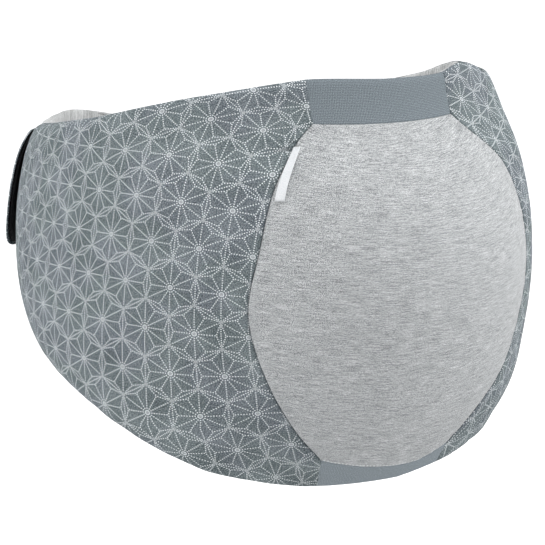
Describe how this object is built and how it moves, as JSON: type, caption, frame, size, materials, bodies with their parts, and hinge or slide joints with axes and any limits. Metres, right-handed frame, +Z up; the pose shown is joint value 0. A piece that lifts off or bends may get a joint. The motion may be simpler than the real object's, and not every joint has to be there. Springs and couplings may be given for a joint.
{
  "type": "maternity sleep belt",
  "caption": "Soft maternity belt worn as a loop: stretch belly panel between elastic bands, padded printed sides that taper to the back and close with a hook-tape tab.",
  "frame": {"origin": "middle of the space that the wearer's torso fills, about the height of the widest belly", "axes": "+Z up along the body, -Y the way the wearer faces, +X the wearer's left"},
  "size_m": [0.3409, 0.3232, 0.2551],
  "materials": {
    "heather": "brushed heather jersey",
    "elastic": "woven elastic webbing",
    "print": "printed matte cotton",
    "lining": "brushed pile",
    "hooks": "hook tape",
    "label": "smooth woven tape"
  },
  "bodies": {
    "root": {"belly_panel": "heather", "top_band": "elastic", "bottom_band": "elastic", "side_panel_right": "print", "side_panel_left": "print", "lining_right": "lining", "lining_left": "lining", "hook_tab": "hooks", "seam_label": "label"}
  },
  "joints": []
}
